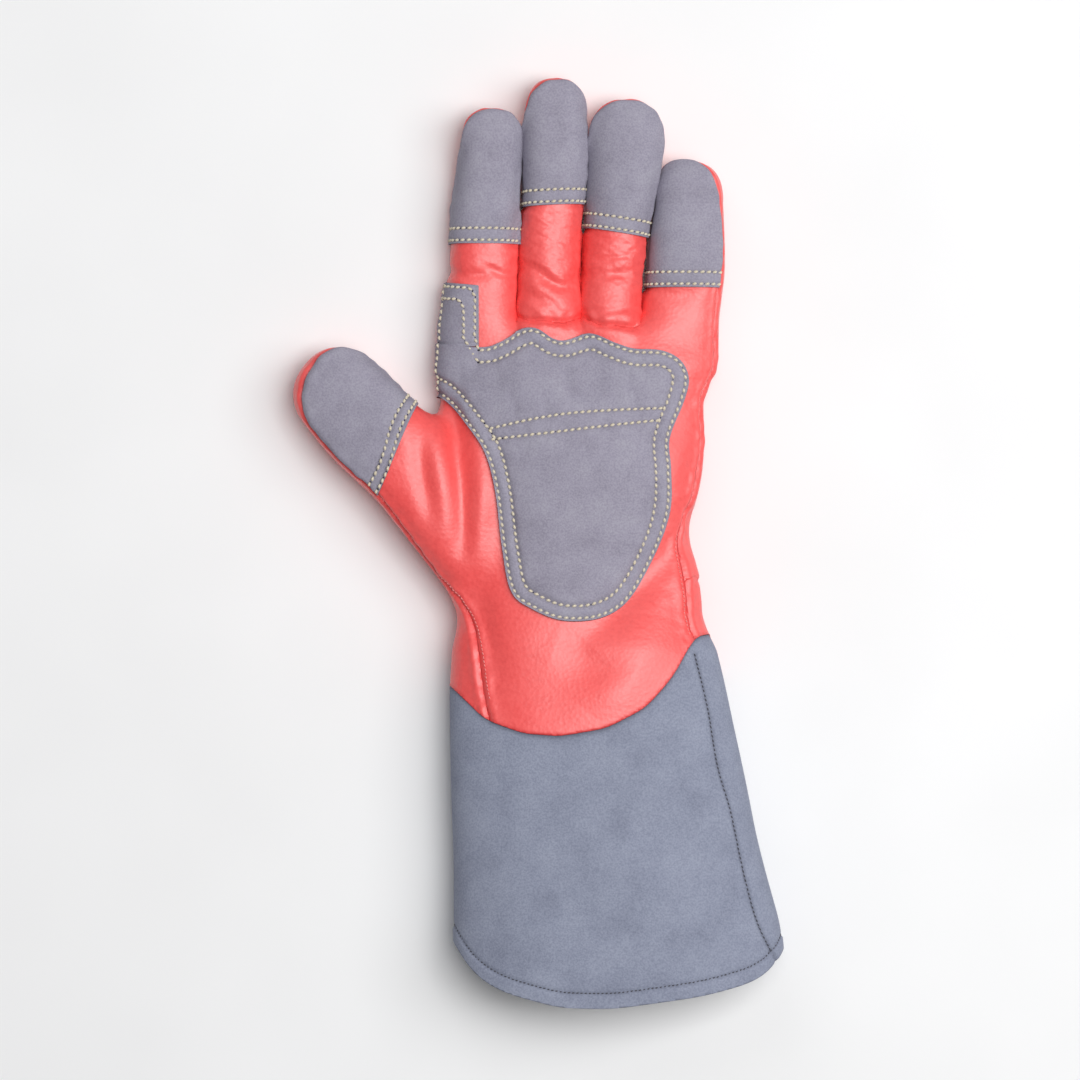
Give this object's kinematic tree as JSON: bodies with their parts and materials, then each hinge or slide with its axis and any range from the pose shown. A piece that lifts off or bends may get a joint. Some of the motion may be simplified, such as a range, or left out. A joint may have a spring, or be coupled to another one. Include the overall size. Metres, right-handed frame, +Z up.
{
  "type": "pruning gauntlet",
  "caption": "Left-hand rose pruning gauntlet in red leather with a long flared grey suede cuff, suede fingertip patches and a padded suede palm, lying palm up.",
  "frame": {"origin": "on the surface that the glove lies on, under the middle of the wrist", "axes": "+X towards the little-finger side, +Y towards the fingertips, +Z up through the palm"},
  "size_m": [0.2, 0.3799, 0.0503],
  "materials": {
    "red_leather": "satin",
    "patch_suede": "matte",
    "cuff_suede": "matte"
  },
  "bodies": {
    "root": {"back_panel": "red_leather", "palm_panel": "red_leather", "middle_front": "red_leather", "ring_front": "red_leather", "thumb_back": "red_leather", "wrist_yoke": "red_leather", "cuff": "cuff_suede", "index_patch": "patch_suede", "middle_patch": "patch_suede", "ring_patch": "patch_suede", "little_patch": "patch_suede", "thumb_patch": "patch_suede", "palm_pad": "patch_suede", "index_tab": "patch_suede"}
  },
  "joints": []
}
